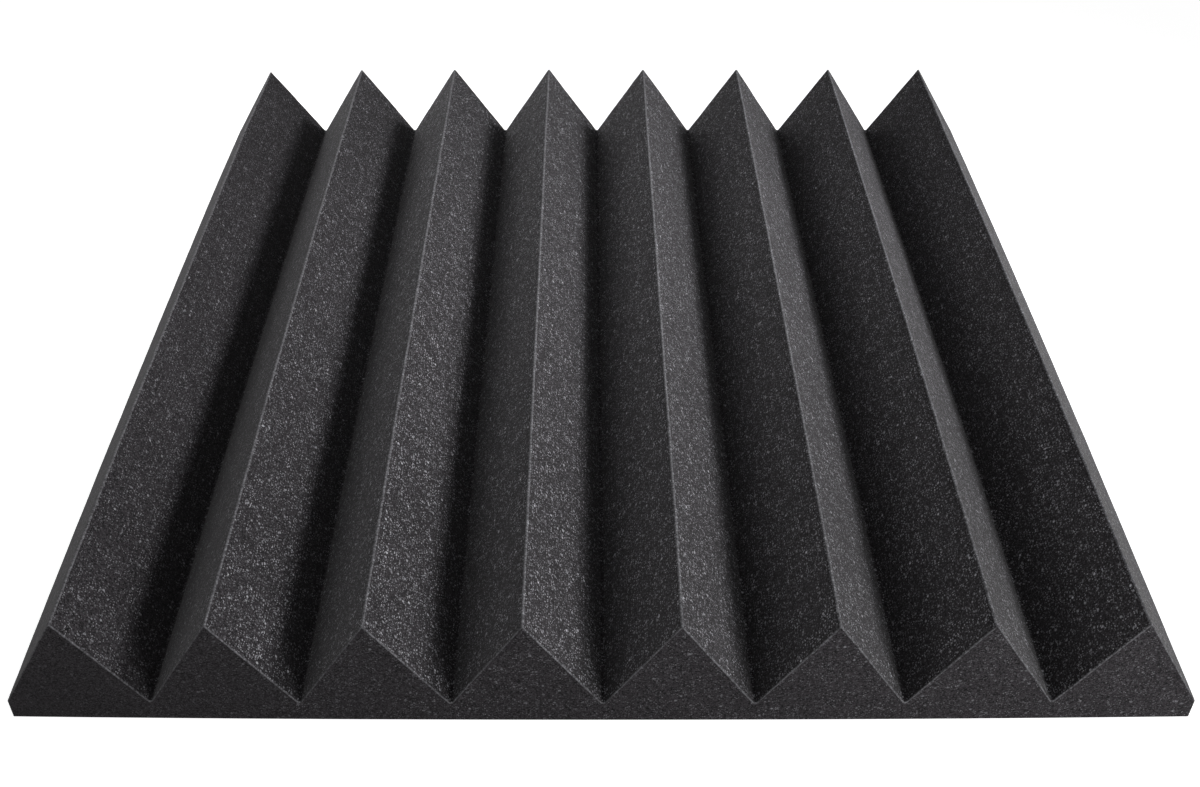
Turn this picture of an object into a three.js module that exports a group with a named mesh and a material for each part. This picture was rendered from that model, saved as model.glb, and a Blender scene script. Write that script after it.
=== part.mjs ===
// Acoustic foam panel, in millimetres, +Z up.
// It lies on its back, as it does before it goes on a wall: ridges up, running along Y.
// The origin is the middle of the back, on the outer face of the release liner.

import * as THREE from 'three';

// Foam block
const panelWidth = 500; // across the ridges, along X
const panelDepth = 500; // along the ridges, along Y
const ridgeCount = 8;
const baseThickness = 10; // solid foam left under the valleys
const ridgeHeight = 47.5; // valley floor to crest, before both are rounded
const crestRadius = 0.6; // the blade leaves the crests almost sharp
const valleyRadius = 1; // and turns a little wider at the foot of each valley

// Peel-and-stick back
const filmThickness = 0.25;
const filmSetback = 1.5; // film and liners stop this far inside the foam's edges
const linerThickness = 0.15;
const pullStripWidth = 120; // the narrow liner that comes off first
const linerSlit = 0.4; // knife cut between the two liners

// Roundness of the arcs, in steps of a quarter turn
const arcSegments = 3;

const foamMaterial = new THREE.MeshStandardMaterial({ color: '#313134', roughness: 0.95, metalness: 0 });
const filmMaterial = new THREE.MeshStandardMaterial({ color: '#d9d4c4', roughness: 0.35, metalness: 0 });
const linerMaterial = new THREE.MeshStandardMaterial({ color: '#ece4cf', roughness: 0.55, metalness: 0 });
const pullStripMaterial = linerMaterial.clone();

// Levels of the stack, from the floor up
const filmBottom = linerThickness;
const foamBottom = filmBottom + filmThickness;

// Size of the film and of both liners together
const backWidth = panelWidth - 2 * filmSetback;
const backDepth = panelDepth - 2 * filmSetback;

// One corner of an outline, rounded with a true arc that touches both of its sides.
function addRoundedCorner(shape, before, corner, after, radius) {
  const toBefore = before.clone().sub(corner).normalize();
  const toAfter = after.clone().sub(corner).normalize();
  const halfAngle = Math.acos(toBefore.dot(toAfter)) / 2;
  const inward = toBefore.clone().add(toAfter).normalize();
  const centre = corner.clone().addScaledVector(inward, radius / Math.sin(halfAngle));
  const tangentLength = radius / Math.tan(halfAngle);
  const start = corner.clone().addScaledVector(toBefore, tangentLength).sub(centre);
  const end = corner.clone().addScaledVector(toAfter, tangentLength).sub(centre);
  const turnsRight = toBefore.cross(toAfter) > 0;
  shape.absarc(centre.x, centre.y, radius, start.angle(), end.angle(), turnsRight);
}

// The foam's section across the ridges: a flat base with a row of triangular ridges on it.
// The outer slopes of the first and last ridge run down to the base's side walls.
function ridgeSection() {
  const pitch = panelWidth / ridgeCount;
  const crestLevel = baseThickness + ridgeHeight;
  const left = -panelWidth / 2;
  const line = [new THREE.Vector2(left, baseThickness)];
  for (let i = 0; i < ridgeCount; i++) {
    line.push(new THREE.Vector2(left + (i + 0.5) * pitch, crestLevel));
    line.push(new THREE.Vector2(left + (i + 1) * pitch, baseThickness));
  }

  const shape = new THREE.Shape();
  shape.moveTo(left, 0);
  shape.lineTo(line[0].x, line[0].y);
  for (let i = 1; i < line.length - 1; i++) {
    const isCrest = i % 2 === 1;
    addRoundedCorner(shape, line[i - 1], line[i], line[i + 1], isCrest ? crestRadius : valleyRadius);
  }
  shape.lineTo(-left, baseThickness);
  shape.lineTo(-left, 0);
  shape.closePath();
  return shape;
}

// The block of foam, all one piece, with the section drawn in XZ and carried along Y.
function wedgeFoam() {
  const settings = { depth: panelDepth, bevelEnabled: false, steps: 1, curveSegments: arcSegments };
  const geometry = new THREE.ExtrudeGeometry(ridgeSection(), settings);
  geometry.rotateX(Math.PI / 2);
  const mesh = new THREE.Mesh(geometry, foamMaterial);
  mesh.name = 'wedge_foam';
  mesh.position.set(0, panelDepth / 2, foamBottom);
  return mesh;
}

// A thin flat sheet between two places along X, as deep as the back.
function backSheet(name, material, fromX, toX, bottom, thickness) {
  const mesh = new THREE.Mesh(new THREE.BoxGeometry(toX - fromX, backDepth, thickness), material);
  mesh.name = name;
  mesh.position.set((fromX + toX) / 2, 0, bottom + thickness / 2);
  return mesh;
}

// The adhesive film covers the whole back.
function adhesiveFilm() {
  return backSheet('adhesive_film', filmMaterial, -backWidth / 2, backWidth / 2, filmBottom, filmThickness);
}

// The liner is slit from front to back, so that a finger can lift it at the slit.
function releaseLiners() {
  const left = -backWidth / 2;
  const slitStart = left + pullStripWidth;
  const slitEnd = slitStart + linerSlit;
  return [
    backSheet('liner_pull_strip', pullStripMaterial, left, slitStart, 0, linerThickness),
    backSheet('liner_main', linerMaterial, slitEnd, backWidth / 2, 0, linerThickness),
  ];
}

const panel = new THREE.Group();
panel.add(wedgeFoam(), adhesiveFilm(), ...releaseLiners());

export default panel;
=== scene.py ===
# %% [markdown]
# # A wedge panel of acoustic foam
#
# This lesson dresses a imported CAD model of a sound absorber: a square block of charcoal
# polyurethane foam with eight triangular ridges, lying on its peel-and-stick back. The CAD
# model gives every size. Here the foam gets its cut edges, its slight unevenness and its
# open-cell surface, and the thin sheets on its back get their finishes.

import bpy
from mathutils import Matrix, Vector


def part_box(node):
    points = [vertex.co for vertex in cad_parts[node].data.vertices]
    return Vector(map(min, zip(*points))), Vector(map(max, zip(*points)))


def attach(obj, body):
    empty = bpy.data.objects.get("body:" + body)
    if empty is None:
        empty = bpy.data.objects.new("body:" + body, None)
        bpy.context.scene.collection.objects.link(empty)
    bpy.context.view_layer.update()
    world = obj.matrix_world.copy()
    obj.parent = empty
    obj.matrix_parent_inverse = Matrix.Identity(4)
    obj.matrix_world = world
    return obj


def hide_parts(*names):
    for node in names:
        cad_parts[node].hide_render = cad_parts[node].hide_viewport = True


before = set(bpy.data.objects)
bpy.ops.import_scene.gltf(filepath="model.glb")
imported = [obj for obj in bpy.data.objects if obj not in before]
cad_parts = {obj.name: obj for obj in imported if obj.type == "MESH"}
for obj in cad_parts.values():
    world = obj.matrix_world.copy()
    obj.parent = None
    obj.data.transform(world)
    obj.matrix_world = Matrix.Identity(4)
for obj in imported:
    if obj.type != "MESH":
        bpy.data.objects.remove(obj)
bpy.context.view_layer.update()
print("nodes in the frame:", sorted(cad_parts))

# %% Modules and units
import math

import bpy
import numpy as np
from mathutils import Euler, Vector, noise

MM = 0.001

# %% [markdown]
# ## The view
#
# The panel is seen from the front, a little more than an arm's length away, through a lens
# of about 41 mm on a full frame. The numbers come from matching both ends of every crest and
# valley. The picture was cropped, so its optical axis is a little off its middle, and the
# lens shift says by how much. Depth of field stays off, so that every view is sharp.

# %% Camera
IMAGE_WIDTH_PX = 1200
SENSOR_WIDTH_MM = 36.0
FOCAL_LENGTH_PX = 1355.4
AXIS_RIGHT_OF_MIDDLE_PX = -13.8
AXIS_BELOW_MIDDLE_PX = 26.2
CAMERA_PLACE = Vector((-0.0058, -0.6104, 0.4680))
CAMERA_DOWN_DEG = 40.03
CAMERA_YAW_DEG = 0.05
CAMERA_ROLL_DEG = -0.04


def add_camera():
    lens = bpy.data.cameras.new("camera")
    lens.sensor_width = SENSOR_WIDTH_MM
    lens.lens = FOCAL_LENGTH_PX / IMAGE_WIDTH_PX * SENSOR_WIDTH_MM
    lens.shift_x = -AXIS_RIGHT_OF_MIDDLE_PX / IMAGE_WIDTH_PX
    lens.shift_y = AXIS_BELOW_MIDDLE_PX / IMAGE_WIDTH_PX
    camera = bpy.data.objects.new("camera", lens)
    yaw = Euler((0, 0, math.radians(CAMERA_YAW_DEG))).to_matrix()
    tilt = Euler((math.radians(90 - CAMERA_DOWN_DEG), 0, 0)).to_matrix()
    roll = Euler((0, 0, math.radians(CAMERA_ROLL_DEG))).to_matrix()
    camera.matrix_world = (yaw @ tilt @ roll).to_4x4()
    camera.location = CAMERA_PLACE
    bpy.context.scene.collection.objects.link(camera)
    bpy.context.scene.camera = camera
    return camera


camera = add_camera()
lens = camera.data
print(f"camera lens {lens.lens:.1f} mm, shift {lens.shift_x:.4f}, {lens.shift_y:.4f}")

# %% [markdown]
# ## The foam's section
#
# The real panel is cut from a block by a long blade that follows a zigzag, so every place
# along the panel has the same section: crests that are almost sharp, and valleys with a
# small round where the blade turns. The section is drawn once as a line of points, with
# true arcs at the corners and extra points close to them, so that the edges stay crisp.
# Each point keeps its outward direction, which is needed to draw the line in at the ends.

# %% Sizes of the foam
foam_low, foam_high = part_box("wedge_foam")
PANEL_WIDTH = foam_high.x - foam_low.x
PANEL_DEPTH = foam_high.y - foam_low.y
RIDGES = 8
BASE_THICKNESS = 10 * MM
RIDGE_HEIGHT = 47.5 * MM
CREST_RADIUS = 0.6 * MM
VALLEY_RADIUS = 1.0 * MM
SIDE_EDGE_RADIUS = 0.6 * MM
PITCH = PANEL_WIDTH / RIDGES
print(f"foam {PANEL_WIDTH / MM:.1f} x {PANEL_DEPTH / MM:.1f} mm, one ridge every {PITCH / MM:.1f} mm")

# %% Corners of the section, rounded
ARC_STEPS = 4
SLOPE_STEPS = 20
EDGE_BAND = 0.35 * MM


def corner_arc(before, corner, after, radius):
    """Points and outward directions round one corner of the section, from left to right."""
    to_before = (before - corner).normalized()
    to_after = (after - corner).normalized()
    half_angle = to_before.angle(to_after) / 2
    inward = (to_before + to_after).normalized()
    centre = corner + inward * (radius / math.sin(half_angle))
    start = corner + to_before * (radius / math.tan(half_angle)) - centre
    end = corner + to_after * (radius / math.tan(half_angle)) - centre
    turn = start.angle_signed(end)
    is_crest = inward.y < 0
    points = []
    for step in range(ARC_STEPS + 1):
        share = step / ARC_STEPS
        angle = math.atan2(start.y, start.x) - turn * share
        direction = Vector((math.cos(angle), math.sin(angle)))
        outward = direction if is_crest else -direction
        points.append((centre + direction * radius, outward))
    return points


def straight(start, end, steps, band):
    """Points between two ends, evenly spaced but for one short step at each end."""
    length = (end - start).length
    along = [band / length]
    along += [band / length + (1 - 2 * band / length) * i / steps for i in range(1, steps)]
    along += [1 - band / length]
    return [start.lerp(end, share) for share in along]


def section_line():
    """The foam's upper line from the top of the left wall to the top of the right wall."""
    left = -PANEL_WIDTH / 2
    zigzag = [Vector((left, 0)), Vector((left, BASE_THICKNESS))]
    for i in range(RIDGES):
        zigzag.append(Vector((left + (i + 0.5) * PITCH, BASE_THICKNESS + RIDGE_HEIGHT)))
        zigzag.append(Vector((left + (i + 1) * PITCH, BASE_THICKNESS)))
    zigzag.append(Vector((-left, 0)))

    line = []
    last = len(zigzag) - 2
    for i in range(1, last + 1):
        is_wall_top = i in (1, last)
        is_crest = i % 2 == 0
        radius = SIDE_EDGE_RADIUS if is_wall_top else CREST_RADIUS if is_crest else VALLEY_RADIUS
        arc = corner_arc(zigzag[i - 1], zigzag[i], zigzag[i + 1], radius)
        if line:
            start, outward = line[-1][0], line[-1][1]
            for point in straight(start, arc[0][0], SLOPE_STEPS, EDGE_BAND):
                line.append((point, outward, 0.0))
        edge = 1.0 if (is_crest or is_wall_top) else 0.0
        line += [(point, outward, edge) for point, outward in arc]
    return line


section = section_line()
print(f"section drawn with {len(section)} points")

# %% [markdown]
# ## The foam block
#
# The section is carried along the panel in rows a few millimetres apart. At both ends the
# knife that squared the panel left an edge that is soft rather than sharp, so the first
# rows are drawn in by a small quarter round. Each vertex on a cut edge is marked, so that
# the material can paint a light line along it later, a painted highlight where broken struts
# catch the light. The block is closed all round and stays true for now.

# %% Build the block
ROWS = 168
END_EDGE_RADIUS = 0.35 * MM
END_EDGE_STEPS = 2
CAP_LEVELS = 8


def row_places():
    """Distances from the front end, how far the section is drawn in there, and edge marks."""
    places = []
    for step in range(END_EDGE_STEPS + 1):
        angle = math.pi / 2 * step / END_EDGE_STEPS
        from_end = END_EDGE_RADIUS * (1 - math.cos(angle))
        inset = END_EDGE_RADIUS * (1 - math.sin(angle))
        places.append((from_end, inset, 1.0))
    first = END_EDGE_RADIUS + EDGE_BAND
    places.append((first, 0.0, 0.0))
    front_edge = list(places)
    span = PANEL_DEPTH - 2 * first
    places += [(first + span * i / ROWS, 0.0, 0.0) for i in range(1, ROWS)]
    places += [(PANEL_DEPTH - y, inset, edge) for y, inset, edge in reversed(front_edge)]
    return places


def build_block():
    """Vertices, faces and edge marks of the closed block, before it is made uneven."""
    rows = row_places()
    top = np.array([[p.x, p.y] for p, _, _ in section])
    outward = np.array([[n.x, n.y] for _, n, _ in section])
    edge_mark = np.array([e for _, _, e in section])
    level_shares = np.linspace(0, 1, CAP_LEVELS + 1)
    below_edge = EDGE_BAND / BASE_THICKNESS
    level_shares[-2] = 1 - below_edge

    vertices, marks, faces = [], [], []

    def put(x, y, z, mark):
        vertices.append((x, y, z))
        marks.append(mark)
        return len(vertices) - 1

    # The skin: each row runs up the left wall, over the section and down the right wall
    skin = []
    for y, inset, row_mark in rows:
        line = top - outward * inset
        row = [put(line[0, 0], y, line[0, 1] * share, row_mark) for share in level_shares[:-1]]
        row += [put(x, y, z, max(row_mark, mark)) for (x, z), mark in zip(line, edge_mark)]
        row += [put(line[-1, 0], y, line[-1, 1] * share, row_mark) for share in level_shares[-2::-1]]
        skin.append(row)
    for near, far in zip(skin, skin[1:]):
        for i in range(len(near) - 1):
            faces.append((near[i], far[i], far[i + 1], near[i + 1]))

    # The two cut ends: columns hang from the section down to the back
    bottom_edges = []
    for row, is_front in ((skin[0], True), (skin[-1], False)):
        left_wall = row[:CAP_LEVELS]
        crown = row[CAP_LEVELS : CAP_LEVELS + len(top)]
        right_wall = row[CAP_LEVELS + len(top) :][::-1]
        columns = [left_wall + [crown[0]]]
        for above in crown[1:-1]:
            x, y, z = vertices[above]
            column = [put(x, y, z * share, 0.0) for share in level_shares[:-2]]
            column.append(put(x, y, z - EDGE_BAND, 0.0))
            columns.append(column + [above])
        columns.append(right_wall + [crown[-1]])
        for a, b in zip(columns, columns[1:]):
            for k in range(CAP_LEVELS):
                quad = (a[k], b[k], b[k + 1], a[k + 1])
                faces.append(quad if is_front else quad[::-1])
        bottom_edges.append([column[0] for column in columns])

    # The flat back is one large face round the bottom edges
    front, back = bottom_edges
    right_side = [row[-1] for row in skin[1:-1]]
    left_side = [row[0] for row in skin[1:-1]]
    faces.append(tuple(front[::-1] + left_side + back + right_side[::-1]))
    return np.array(vertices), faces, np.array(marks)


vertices, faces, edge_marks = build_block()
print(f"block has {len(vertices)} vertices and {len(faces)} faces")

# %% [markdown]
# ## Foam is never quite true
#
# In the picture the crests and valleys are not evenly spaced. The blade ran off in a slow
# wave across the panel, and its slack put each crest a touch to the left and each valley a
# touch to the right. The sides and the front end bow outwards, since foam swells once it is
# cut. The crests stop a little inside both ends, where they gave way to the knife, and the
# far left corner sags. On top of that come small moves with smooth noise for swelling, grain
# and lost crumbs. They are the same on every run and fade out towards the flat back.

# %% Make it as uneven as cut foam is
BLADE_DRIFT = 2.3 * MM
BLADE_DRIFT_LENGTH = 580 * MM
BLADE_DRIFT_START = -26 * MM
BLADE_SLACK = 0.39 * MM
SIDE_BOW = 1.4 * MM
FRONT_BOW = 1.8 * MM
BACK_BOW = 0.6 * MM
CREST_SPRINGBACK = 1.4 * MM
SPRINGBACK_REACH = 40 * MM
BLADE_WANDER = 0.3 * MM
BLADE_WANDER_LENGTH = 110 * MM
SWELL = 0.16 * MM
SWELL_LENGTH = 22 * MM
GRAIN = 0.08 * MM
GRAIN_LENGTH = 6 * MM
CREST_CRUMB = 0.28 * MM
CREST_CRUMB_LENGTH = 4 * MM
WANDER_SLICE = 3.1  # places in the noise, far enough apart to look unrelated
CRUMB_SLICE = 7.7
NOISE_SEED = 1  # without one, noise_vector starts from the clock and every run differs
CRUMBS_ABOVE = 0.9  # crumbs are lost only from this share of the height upwards
LENGTHWISE_SHARE = 0.5  # the blade runs along the ridges, so it leaves less waver that way
FADE_RATE = 3  # the small moves reach their full size at a third of the height
BACK_CORNER_SAG = 2.2 * MM
BACK_CORNER_SAG_REACH = 60 * MM
RIDGE_TOP = BASE_THICKNESS + RIDGE_HEIGHT


def blade_drift(x):
    """How far the blade ran off the even spacing: a slow wave, crests left of it, valleys right."""
    lines = np.linspace(-PANEL_WIDTH / 2, PANEL_WIDTH / 2, 2 * RIDGES + 1)
    drifts = BLADE_DRIFT * np.sin(2 * np.pi * (lines - BLADE_DRIFT_START) / BLADE_DRIFT_LENGTH)
    drifts[1::2] -= BLADE_SLACK
    drifts[2::2] += BLADE_SLACK
    drifts[[0, -1]] = 0.0
    return np.interp(x, lines, drifts)


def relaxed(points):
    """Shifts in X and Y of a block that swells once it is cut, and whose crests sprang back."""
    x, y, z = points.T
    across = 2 * x / PANEL_WIDTH
    along = y / PANEL_DEPTH
    shift_x = SIDE_BOW * across * (1 - (2 * along - 1) ** 2)
    shift_y = (BACK_BOW * along - FRONT_BOW * (1 - along)) * (1 - across**2)
    near_front = np.exp(-y / SPRINGBACK_REACH)
    near_back = np.exp(-(PANEL_DEPTH - y) / SPRINGBACK_REACH)
    shift_y += CREST_SPRINGBACK * z / RIDGE_TOP * (near_front - near_back)
    return shift_x, shift_y


def uneven(points, marks):
    """The block's points, moved as a blade, gravity and handling leave foam."""
    noise.seed_set(NOISE_SEED)
    moved = points.copy()
    shift_x, shift_y = relaxed(points)
    moved[:, 0] += blade_drift(points[:, 0]) + shift_x
    moved[:, 1] += shift_y
    for i, (x, y, z) in enumerate(points):
        height = z / RIDGE_TOP
        here = Vector((x, y, z))
        wander = noise.noise_vector(Vector((x / PITCH / 2, y / BLADE_WANDER_LENGTH, WANDER_SLICE)))
        swell = noise.noise_vector(here / SWELL_LENGTH)
        grain = noise.noise_vector(here / GRAIN_LENGTH)
        shift = wander * BLADE_WANDER + swell * SWELL + grain * GRAIN
        crumb = max(0.0, noise.noise(Vector((x / PITCH, y / CREST_CRUMB_LENGTH, CRUMB_SLICE))))
        crumb *= marks[i] * CREST_CRUMB * (height > CRUMBS_ABOVE)
        from_left = (x + PANEL_WIDTH / 2) / BACK_CORNER_SAG_REACH
        from_back = (PANEL_DEPTH - y) / BACK_CORNER_SAG_REACH
        sag = BACK_CORNER_SAG * math.exp(-(from_left**2) - from_back**2) * height
        small_move = np.array((shift.x, shift.y * LENGTHWISE_SHARE, shift.z))
        moved[i] += small_move * min(1.0, FADE_RATE * height)
        moved[i, 2] -= crumb + sag
    return moved


placed = uneven(vertices, edge_marks)
largest_move = np.abs(placed - vertices).max()
placed += np.array((0.0, foam_low.y, foam_low.z))
print(f"points moved by up to {largest_move / MM:.2f} mm")

# %% Make the mesh and seat it on the film
SHARP_ANGLE_DEG = 50
foam_mesh = bpy.data.meshes.new("foam_block")
foam_mesh.from_pydata(placed.tolist(), [], faces)
foam_mesh.validate()
foam_mesh.shade_smooth()
foam_mesh.set_sharp_from_angle(angle=math.radians(SHARP_ANGLE_DEG))
edge_attribute = foam_mesh.attributes.new("cut_edge", "FLOAT", "POINT")
edge_attribute.data.foreach_set("value", edge_marks.astype(np.float32))
foam = bpy.data.objects.new("foam_block", foam_mesh)
bpy.context.scene.collection.objects.link(foam)
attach(foam, "root")
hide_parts("wedge_foam")
print(f"foam block holds {len(foam_mesh.polygons)} faces")

# %% [markdown]
# ## Colours and nodes
#
# Colours are picked as sRGB hex values, as a colour picker shows them, and one function
# turns them to the linear values that a shader works in. One more function adds a node with
# its settings and its links, and every node here is made by it. A noise texture keeps nearly
# all of its values in the middle of its range, so that part is stretched wherever one is used.

# %% Colour and node helpers
FOAM_COLOUR = "#484448"
WHITE = "#ffffff"
NOISE_LOW = 0.3
NOISE_HIGH = 0.7


def linear(hex_colour):
    """An sRGB hex colour as a linear RGBA tuple."""
    channels = [int(hex_colour[i : i + 2], 16) / 255 for i in (1, 3, 5)]
    curve = [c / 12.92 if c <= 0.04045 else ((c + 0.055) / 1.055) ** 2.4 for c in channels]
    return (*curve, 1.0)


def shown(sockets, key):
    """A socket by its number, or the one of that name which the node shows in its present mode."""
    if isinstance(key, int):
        return sockets[key]
    return next(socket for socket in sockets if socket.name == key and socket.enabled)


def add_node(tree, kind, settings=None, links=None):
    """Adds a node, sets its properties or input values, and links sockets into its inputs."""
    node = tree.nodes.new(kind)
    for key, value in (settings or {}).items():
        if isinstance(key, str) and hasattr(node, key):
            setattr(node, key, value)
        else:
            shown(node.inputs, key).default_value = value
    for key, socket in (links or {}).items():
        tree.links.new(socket, shown(node.inputs, key))
    return node


def start_material(name):
    """A new material with an empty node tree, and its place on the object in metres."""
    material = bpy.data.materials.new(name)
    material.use_nodes = True
    tree = material.node_tree
    tree.nodes.clear()
    return material, tree, add_node(tree, "ShaderNodeTexCoord").outputs["Object"]


print("charcoal", FOAM_COLOUR, "as linear:", [round(c, 3) for c in linear(FOAM_COLOUR)])

# %% [markdown]
# ## Open-cell polyurethane foam
#
# Foam is a net of fine struts with a dark hole in each cell. A cut leaves a flat but rough
# face: matt charcoal struts, black pores, and here and there a scrap of cell skin that
# flashes when it faces the light. The cells of this foam are about half a millimetre wide.
# Real struts and flashes are about a tenth of that, and would be lost between the pixels,
# so the glints are drawn several times as coarse. The glints are painted highlights: the
# flashes are put into the colour as pale points, which show under any lamp. The colour
# comes from layers: cells with their pores, each with a brightness of its own because its
# struts lean their own way, a slow mottle, painted glints that are stronger in some places
# than in others, and a light line painted along every edge, a painted highlight where the
# blade left broken struts that catch the light. The pores also drive a shallow bump.

# %% Cells with their pores
CELL_SIZE = 0.55 * MM
PORE_DARK = 0.5
PORE_DEPTH = 0.12 * MM
BUMP_STRENGTH = 0.3
PORE_REACH = 0.1  # how far from the middle of a cell its pore is at its darkest, in cells
STRUT_FROM = 0.5  # and how far from there its strut begins
MOTTLE_SIZE = 28 * MM
DYE_LEAST = 0.9
DYE_MOST = 1.1


def cells_and_pores(tree, place):
    """How much light each place of the cut sends back, and how far it stands above its pore."""
    cells = add_node(tree, "ShaderNodeTexVoronoi", {"Scale": 1 / CELL_SIZE}, {"Vector": place})
    rim = add_node(
        tree,
        "ShaderNodeMapRange",
        {"From Min": PORE_REACH, "From Max": STRUT_FROM, "To Min": PORE_DARK},
        {"Value": cells.outputs["Distance"]},
    )
    lean = add_node(tree, "ShaderNodeSeparateColor", {}, {"Color": cells.outputs["Color"]})
    strut = add_node(
        tree,
        "ShaderNodeMath",
        {"operation": "MULTIPLY"},
        {0: rim.outputs["Result"], 1: lean.outputs["Red"]},
    )
    mottle = add_node(
        tree, "ShaderNodeTexNoise", {"Scale": 1 / MOTTLE_SIZE, "Detail": 2.0}, {"Vector": place}
    )
    dye = add_node(
        tree,
        "ShaderNodeMapRange",
        {"From Min": NOISE_LOW, "From Max": NOISE_HIGH, "To Min": DYE_LEAST, "To Max": DYE_MOST},
        {"Value": mottle.outputs["Fac"]},
    )
    shade = add_node(
        tree,
        "ShaderNodeMath",
        {"operation": "MULTIPLY"},
        {0: strut.outputs["Value"], 1: dye.outputs["Result"]},
    )
    return shade.outputs["Value"], rim.outputs["Result"]


# %% [markdown]
# A glint is a painted highlight: a round pale point in the middle of some cells of a coarser
# net. The chance that the net gives each cell is raised to a power, so that bright points are
# rarer than dim ones. Glints lie in loose crowds. They are fainter on the two ends and, in
# this panel, towards the left side.

# %% Painted glints of struts and torn skin
# They are painted highlights, drawn some eight times as coarse as the real struts and scraps of skin
STRUT_GLINTS = {"spacing": 0.8 * MM, "radius": 0.5, "rarity": 2.1}
SKIN_GLINTS = {"spacing": 2.4 * MM, "radius": 0.33, "rarity": 3.6}
# The glints' colour is painted light: pale points that stand in for flashes of light
GLINT_COLOUR = "#f8f8ff"
CLUSTER_SIZE = 5 * MM
CLUSTER_LEAST = 0.3
CLUSTER_FROM = 0.35
CLUSTER_TO = 0.7
END_GLINTS = 0.27
END_FROM = 0.6  # how squarely a place faces forwards or back before it counts as an end
END_TO = 0.9
LEFT_GLINTS = 0.3
LEFT_REACH = 150 * MM


def glint_crowd(tree, place):
    """How strong the painted glints are: less between the crowds, on the ends and towards the left."""
    cluster = add_node(
        tree, "ShaderNodeTexNoise", {"Scale": 1 / CLUSTER_SIZE, "Detail": 1.0}, {"Vector": place}
    )
    crowd = add_node(
        tree,
        "ShaderNodeMapRange",
        {"From Min": CLUSTER_FROM, "From Max": CLUSTER_TO, "To Min": CLUSTER_LEAST},
        {"Value": cluster.outputs["Fac"]},
    )
    normal = add_node(tree, "ShaderNodeTexCoord").outputs["Normal"]
    facing = add_node(tree, "ShaderNodeSeparateXYZ", {}, {"Vector": normal})
    end_on = add_node(tree, "ShaderNodeMath", {"operation": "ABSOLUTE"}, {0: facing.outputs["Y"]})
    on_the_ends = add_node(
        tree,
        "ShaderNodeMapRange",
        {"From Min": END_FROM, "From Max": END_TO, "To Min": 1.0, "To Max": END_GLINTS},
        {"Value": end_on.outputs["Value"]},
    )
    where = add_node(tree, "ShaderNodeSeparateXYZ", {}, {"Vector": place})
    left = -PANEL_WIDTH / 2
    sideways = add_node(
        tree,
        "ShaderNodeMapRange",
        {"From Min": left, "From Max": left + LEFT_REACH, "To Min": LEFT_GLINTS},
        {"Value": where.outputs["X"]},
    )
    share = crowd.outputs["Result"]
    for fainter in (on_the_ends, sideways):
        product = add_node(
            tree, "ShaderNodeMath", {"operation": "MULTIPLY"}, {0: share, 1: fainter.outputs["Result"]}
        )
        share = product.outputs["Value"]
    return share


def glint_share(tree, place, crowd, spacing, radius, rarity):
    """0 but for points in some cells of a net, where it says how bright the painted glint is."""
    net = add_node(tree, "ShaderNodeTexVoronoi", {"Scale": 1 / spacing}, {"Vector": place})
    point = add_node(
        tree,
        "ShaderNodeMapRange",
        {"From Min": radius, "From Max": radius / 2},
        {"Value": net.outputs["Distance"]},
    )
    chance = add_node(tree, "ShaderNodeSeparateColor", {}, {"Color": net.outputs["Color"]})
    bright = add_node(
        tree, "ShaderNodeMath", {"operation": "POWER", 1: rarity}, {0: chance.outputs["Red"]}
    )
    lone = add_node(
        tree,
        "ShaderNodeMath",
        {"operation": "MULTIPLY"},
        {0: point.outputs["Result"], 1: bright.outputs["Value"]},
    )
    crowded = add_node(
        tree, "ShaderNodeMath", {"operation": "MULTIPLY"}, {0: lone.outputs["Value"], 1: crowd}
    )
    return crowded.outputs["Value"]


# %% [markdown]
# A blade leaves broken struts standing free along every cut edge, and these catch more
# light. That light is painted into the colour as a pale line, a painted highlight. The edge
# marks on the mesh say where, and noise says how broken each place is and so how much of
# the painted highlight it gets.

# %% Fray on the edges, painted as a highlight
FRAY_HIGHLIGHT_SIZE = 1.1 * MM
# The pale colour is a painted highlight: light caught by broken struts along the edges
FRAY_HIGHLIGHT_COLOUR = "#a0a0a4"
FRAY_HIGHLIGHT_LEAST = 0.1
FRAY_HIGHLIGHT_MOST = 0.7


def fray_highlight_share(tree, place):
    """How much of the painted edge highlight shows: 0 away from the cut edges."""
    edge = add_node(tree, "ShaderNodeAttribute", {"attribute_name": "cut_edge"})
    fray = add_node(
        tree, "ShaderNodeTexNoise", {"Scale": 1 / FRAY_HIGHLIGHT_SIZE, "Detail": 1.0}, {"Vector": place}
    )
    highlight_strength = add_node(
        tree,
        "ShaderNodeMapRange",
        {"From Min": NOISE_LOW, "From Max": NOISE_HIGH, "To Min": FRAY_HIGHLIGHT_LEAST, "To Max": FRAY_HIGHLIGHT_MOST},
        {"Value": fray.outputs["Fac"]},
    )
    share = add_node(
        tree,
        "ShaderNodeMath",
        {"operation": "MULTIPLY"},
        {0: edge.outputs["Fac"], 1: highlight_strength.outputs["Result"]},
    )
    return share.outputs["Value"]


# %% [markdown]
# The layers are laid over one another, each by its own share, and end in one shader. Foam
# is dull at every angle: a high roughness, a weak gloss, and only a trace of sheen from the
# struts that stand up from the cut. More sheen would veil the grain on slopes that are seen
# at a flat angle.

# %% Foam material
FOAM_ROUGHNESS = 0.9
FOAM_IOR = 1.5
FOAM_SPECULAR = 0.12
FOAM_SHEEN = 0.12
FOAM_SHEEN_ROUGHNESS = 0.5


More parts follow.
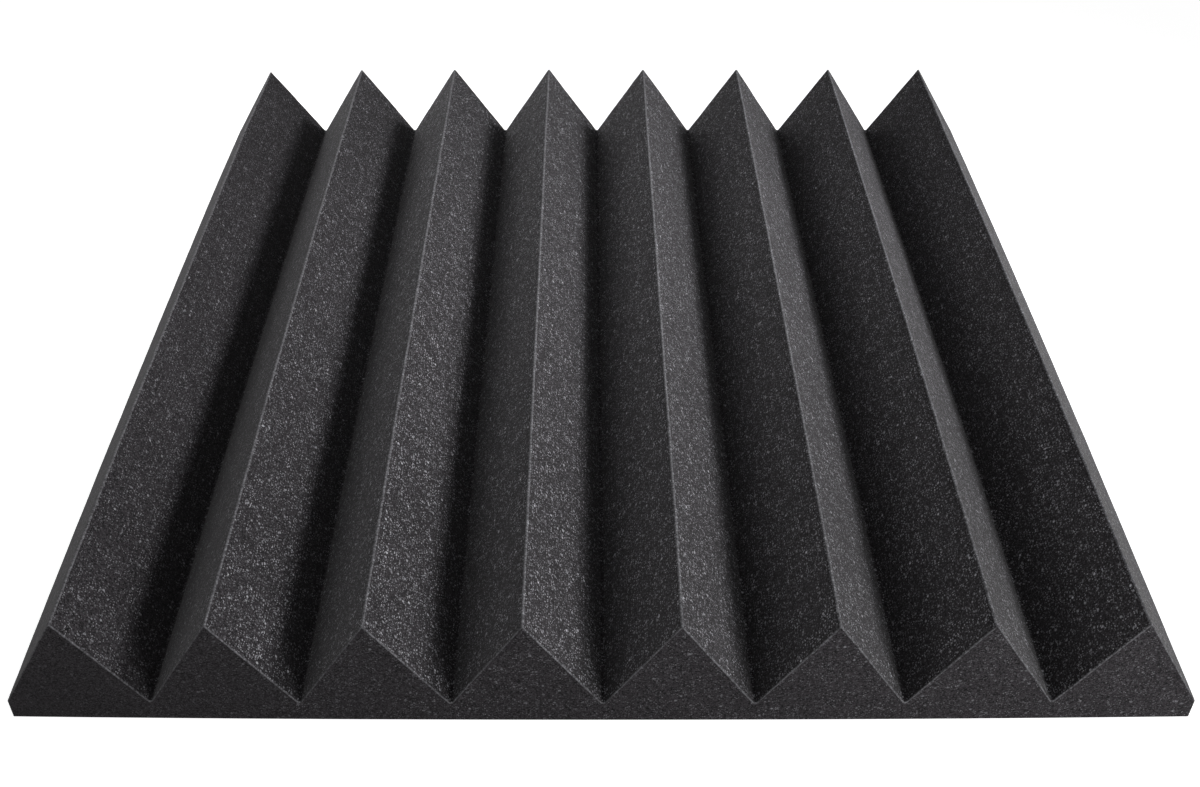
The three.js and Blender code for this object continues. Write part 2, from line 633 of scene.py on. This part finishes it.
def open_cell_foam():
    material, tree, place = start_material("open_cell_polyurethane_foam")
    shade, rim = cells_and_pores(tree, place)
    body = add_node(
        tree,
        "ShaderNodeVectorMath",
        {"operation": "SCALE", "Vector": linear(FOAM_COLOUR)[:3]},
        {"Scale": shade},
    )
    colour = body.outputs["Vector"]
    crowd = glint_crowd(tree, place)
    layers = [
        # painted highlights: pale points in the colour stand in for flashes of light
        (glint_share(tree, place, crowd, **STRUT_GLINTS), GLINT_COLOUR),
        (glint_share(tree, place, crowd, **SKIN_GLINTS), GLINT_COLOUR),
        # a painted highlight along the cut edges
        (fray_highlight_share(tree, place), FRAY_HIGHLIGHT_COLOUR),
    ]
    for share, layer_colour in layers:
        mixed = add_node(
            tree,
            "ShaderNodeMix",
            {"data_type": "RGBA", "B": linear(layer_colour)},
            {"Factor": share, "A": colour},
        )
        colour = shown(mixed.outputs, "Result")
    bump = add_node(
        tree, "ShaderNodeBump", {"Strength": BUMP_STRENGTH, "Distance": PORE_DEPTH}, {"Height": rim}
    )
    shader = add_node(
        tree,
        "ShaderNodeBsdfPrincipled",
        {
            "Roughness": FOAM_ROUGHNESS,
            "IOR": FOAM_IOR,
            "Specular IOR Level": FOAM_SPECULAR,
            "Sheen Weight": FOAM_SHEEN,
            "Sheen Roughness": FOAM_SHEEN_ROUGHNESS,
        },
        {"Base Color": colour, "Normal": bump.outputs["Normal"]},
    )
    add_node(tree, "ShaderNodeOutputMaterial", {}, {"Surface": shader.outputs["BSDF"]})
    return material


foam_mesh.materials.append(open_cell_foam())
print("foam material has", len(foam_mesh.materials[0].node_tree.nodes), "nodes")

# %% [markdown]
# ## The sheets on the back
#
# The back is covered with a film of acrylic adhesive on a tissue carrier, and that is kept
# clean by a paper liner with a coat of silicone, slit once so that a finger can lift it.
# These are flat sheets, and the CAD model already has their exact shape, so only their
# finish is new. A clear adhesive over tissue looks like wet paper: off-white, glossy and a
# little cloudy. Silicone on kraft paper gives a satin shine over faint clouds and fibres.
# Real fibres are about 0.03 mm wide, so they are drawn ten times as coarse to show at all.

# %% Film and liner materials
CLOUD_SIZE = 9 * MM
FIBRE_WIDTH = 0.3 * MM
FIBRE_LENGTH = 3 * MM
FIBRE_DEPTH = 0.03 * MM
FIBRE_BUMP = 0.25
FILM_DARK = "#cfc9b6"
FILM_PALE = "#ded9cb"
FILM_ROUGHNESS = (0.28, 0.42)
LINER_DARK = "#e2d8bf"
LINER_PALE = "#efe8d6"
LINER_ROUGHNESS = (0.45, 0.6)


def clouds_and_fibres(tree, place):
    """Two factors of a paper-like sheet: slow clouds, and fibres that run roughly along one way."""
    cloud = add_node(
        tree, "ShaderNodeTexNoise", {"Scale": 1 / CLOUD_SIZE, "Detail": 4.0}, {"Vector": place}
    )
    fibre_scale = (1 / FIBRE_WIDTH, 1 / FIBRE_LENGTH, 1 / FIBRE_WIDTH)
    along = add_node(tree, "ShaderNodeMapping", {"Scale": fibre_scale}, {"Vector": place})
    fibre = add_node(
        tree,
        "ShaderNodeTexNoise",
        {"Scale": 1.0, "Detail": 3.0, "Distortion": 0.6},
        {"Vector": along.outputs["Vector"]},
    )
    return cloud.outputs["Fac"], fibre.outputs["Fac"]


def sheet_material(name, dark, pale, roughness_range, fixed):
    """A thin sheet: its colour drifts with the clouds, its shine and bump follow the fibres."""
    material, tree, place = start_material(name)
    cloud, fibre = clouds_and_fibres(tree, place)
    drift = add_node(
        tree, "ShaderNodeMapRange", {"From Min": NOISE_LOW, "From Max": NOISE_HIGH}, {"Value": cloud}
    )
    cloudy = add_node(
        tree,
        "ShaderNodeMix",
        {"data_type": "RGBA", "A": linear(dark), "B": linear(pale)},
        {"Factor": drift.outputs["Result"]},
    )
    smoothest, roughest = roughness_range
    shine = add_node(
        tree,
        "ShaderNodeMapRange",
        {"From Min": NOISE_LOW, "From Max": NOISE_HIGH, "To Min": smoothest, "To Max": roughest},
        {"Value": fibre},
    )
    bump = add_node(
        tree, "ShaderNodeBump", {"Strength": FIBRE_BUMP, "Distance": FIBRE_DEPTH}, {"Height": fibre}
    )
    shader = add_node(
        tree,
        "ShaderNodeBsdfPrincipled",
        fixed,
        {
            "Base Color": shown(cloudy.outputs, "Result"),
            "Roughness": shine.outputs["Result"],
            "Normal": bump.outputs["Normal"],
        },
    )
    add_node(tree, "ShaderNodeOutputMaterial", {}, {"Surface": shader.outputs["BSDF"]})
    return material


acrylic = {"IOR": 1.47}
silicone = {"IOR": 1.5, "Coat Weight": 0.3, "Coat Roughness": 0.35}
film = sheet_material("acrylic_adhesive_film", FILM_DARK, FILM_PALE, FILM_ROUGHNESS, acrylic)
liner = sheet_material("siliconised_kraft_paper", LINER_DARK, LINER_PALE, LINER_ROUGHNESS, silicone)
back_sheets = {"adhesive_film": film, "liner_pull_strip": liner, "liner_main": liner}
for node_name, material in back_sheets.items():
    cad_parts[node_name].material_slots[0].material = material
    print(node_name, "is now", material.name)

# %% [markdown]
# ## Floor and backdrop
#
# The picture has a plain white ground. The floor is matt and pale, so that it throws soft
# light up on the sides of the panel, and it keeps the panel's shadow. What the camera sees
# of it is nearly all a plain white glow, which adds no light to the panel. The world does
# the same: white to look at, but only a weak fill for the object.

# %% Floor
FLOOR_REACH = 4.0
FLOOR_GAP = 0.05 * MM
FLOOR_COLOUR = "#eeeeee"
FLOOR_GLOW = 0.95


def seen_directly(tree):
    """1 for rays from the camera, off gloss or through glass, and 0 for the light on the object."""
    path = add_node(tree, "ShaderNodeLightPath")
    seen = path.outputs["Is Camera Ray"]
    for kind in ("Is Glossy Ray", "Is Transmission Ray"):
        either = add_node(
            tree, "ShaderNodeMath", {"operation": "MAXIMUM"}, {0: seen, 1: path.outputs[kind]}
        )
        seen = either.outputs["Value"]
    return seen


def pale_floor():
    material, tree, _ = start_material("pale_studio_floor")
    matt = add_node(tree, "ShaderNodeBsdfDiffuse", {"Color": linear(FLOOR_COLOUR)})
    strength = add_node(
        tree, "ShaderNodeMath", {"operation": "MULTIPLY", 1: FLOOR_GLOW}, {0: seen_directly(tree)}
    )
    glow = add_node(
        tree, "ShaderNodeEmission", {"Color": linear(WHITE)}, {"Strength": strength.outputs["Value"]}
    )
    both = add_node(
        tree, "ShaderNodeAddShader", {}, {0: matt.outputs["BSDF"], 1: glow.outputs["Emission"]}
    )
    add_node(tree, "ShaderNodeOutputMaterial", {}, {"Surface": both.outputs["Shader"]})
    return material


floor_mesh = bpy.data.meshes.new("floor")
floor_signs = [(-1, -1), (1, -1), (1, 1), (-1, 1)]
floor_corners = [(x * FLOOR_REACH, y * FLOOR_REACH, -FLOOR_GAP) for x, y in floor_signs]
floor_mesh.from_pydata(floor_corners, [], [(0, 1, 2, 3)])
floor_mesh.materials.append(pale_floor())
floor = bpy.data.objects.new("floor", floor_mesh)
bpy.context.scene.collection.objects.link(floor)
print("floor reaches", FLOOR_REACH, "m each way")

# %% World
FILL = 0.035


def white_world():
    world = bpy.data.worlds.new("white_studio")
    world.use_nodes = True
    tree = world.node_tree
    tree.nodes.clear()
    strength = add_node(
        tree, "ShaderNodeMapRange", {"To Min": FILL, "To Max": 1.0}, {"Value": seen_directly(tree)}
    )
    backdrop = add_node(
        tree, "ShaderNodeBackground", {"Color": linear(WHITE)}, {"Strength": strength.outputs["Result"]}
    )
    add_node(tree, "ShaderNodeOutputWorld", {}, {"Surface": backdrop.outputs["Background"]})
    bpy.context.scene.world = world


white_world()
print("world fill", FILL)

# %% [markdown]
# ## Lamps
#
# The shading on the ridges tells where the light stood. The slopes that face right are lit
# down to about two thirds of their height and then fall off quickly, so the main light is a
# small softbox on the right, a little over a metre away and some 35 degrees up. It has a
# grid, so it is strongest where it points, just left of the middle, and weaker all round.
# The slopes that face left get a second gridded light from behind. A low open light near the
# front right corner makes the front edge brighter from left to right, and a broad one
# straight ahead lifts the front a little. All of them are plain white.

# %% Lamps
LAMP_TARGET = Vector((-0.03, -0.02, 0.03))
OPEN_DEG = 180


def add_lamp(name, azimuth_deg, elevation_deg, distance, width, spread_deg, watts):
    data = bpy.data.lights.new(name, "AREA")
    data.shape = "SQUARE"
    data.size = width
    data.spread = math.radians(spread_deg)
    data.energy = watts
    lamp = bpy.data.objects.new(name, data)
    turn = math.radians(azimuth_deg)
    lift = math.radians(elevation_deg)
    level = math.cos(lift)
    towards = Vector((level * math.cos(turn), level * math.sin(turn), math.sin(lift)))
    lamp.location = LAMP_TARGET + towards * distance
    lamp.rotation_euler = (-towards).to_track_quat("-Z", "Y").to_euler()
    lamp.visible_camera = False
    bpy.context.scene.collection.objects.link(lamp)
    return lamp


key_place = {"azimuth_deg": 30, "elevation_deg": 35, "distance": 1.2, "width": 0.25}
rim_place = {"azimuth_deg": 120, "elevation_deg": 20, "distance": 0.9, "width": 0.4}
corner_place = {"azimuth_deg": -60, "elevation_deg": 12, "distance": 0.7, "width": 0.3}
front_place = {"azimuth_deg": -90, "elevation_deg": 15, "distance": 1.2, "width": 0.6}
add_lamp("key_right", **key_place, spread_deg=50, watts=0.92)
add_lamp("rim_back_left", **rim_place, spread_deg=60, watts=0.4)
add_lamp("low_front_right", **corner_place, spread_deg=OPEN_DEG, watts=1.0)
add_lamp("low_front", **front_place, spread_deg=OPEN_DEG, watts=0.72)
bpy.context.scene.view_settings.view_transform = "Standard"
lamps = [item for item in bpy.context.scene.objects if item.type == "LIGHT"]
print("lamps:", {lamp.name: f"{lamp.data.energy:.2f} W" for lamp in lamps})
